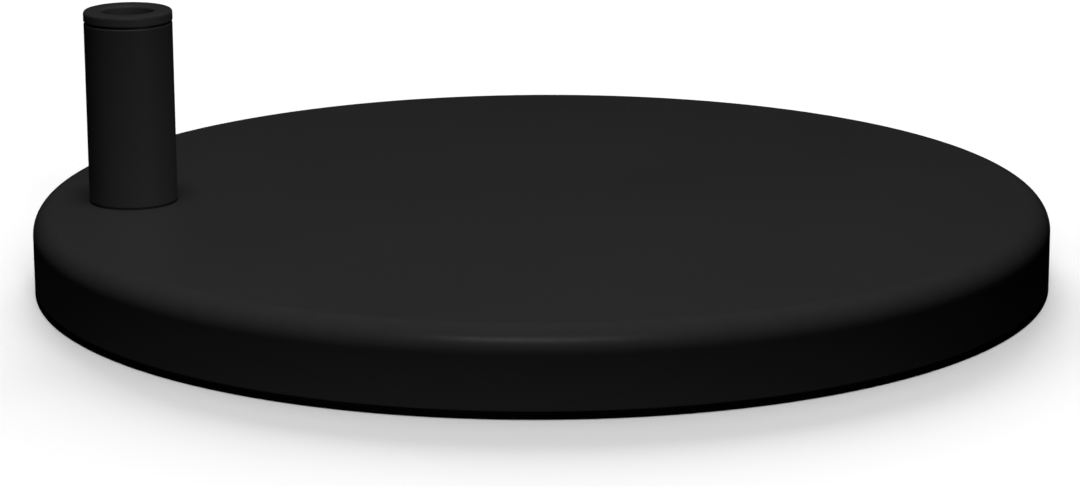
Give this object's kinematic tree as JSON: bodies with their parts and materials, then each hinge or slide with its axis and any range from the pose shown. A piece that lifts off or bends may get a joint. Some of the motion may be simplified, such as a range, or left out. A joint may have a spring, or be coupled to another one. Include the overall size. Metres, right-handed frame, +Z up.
{
  "type": "lamp base",
  "caption": "Heavy round desk lamp base with an off-centre post whose swivelling collar takes the pin of a lamp arm.",
  "frame": {"origin": "centre of the disc on the surface that the base stands on", "axes": "+Z up out of the disc's top and along the socket, -X from the disc's centre to the post"},
  "size_m": [0.232, 0.232, 0.063],
  "materials": {
    "coated_steel": "satin black powder coat",
    "rubber": "matte moulded",
    "acetal": "turned, semi-matte",
    "cast_iron": "as cast, dark primer",
    "zinc_steel": "bright zinc plate",
    "spring_steel": "oiled spring steel",
    "adhesive": "thin foam sheet, matte"
  },
  "bodies": {
    "base": {"base_pad": "rubber", "bottom_plate": "zinc_steel", "ballast_disc": "cast_iron", "bonding_sheet": "adhesive", "top_cover": "coated_steel", "plate_screw_1": "zinc_steel", "plate_screw_2": "zinc_steel", "plate_screw_3": "zinc_steel", "plate_screw_4": "zinc_steel", "plate_screw_5": "zinc_steel", "plate_screw_6": "zinc_steel", "post_seat_washer": "acetal", "post_tube": "coated_steel", "post_foot_plug": "zinc_steel", "post_locating_pin": "spring_steel", "post_bolt": "zinc_steel", "post_plain_washer": "zinc_steel", "post_spring_washer": "spring_steel", "upper_bush": "acetal", "lower_bush": "acetal"},
    "swivel": {"swivel_collar": "coated_steel", "socket_stop": "acetal", "retaining_ring": "spring_steel", "wave_washer": "spring_steel"}
  },
  "joints": [
    {"name": "collar_swivel", "type": "hinge", "parent": "base", "child": "swivel", "pos_m": [-0.0933, 0, 0.0607], "axis": [0, 0, 1], "continuous": true}
  ]
}
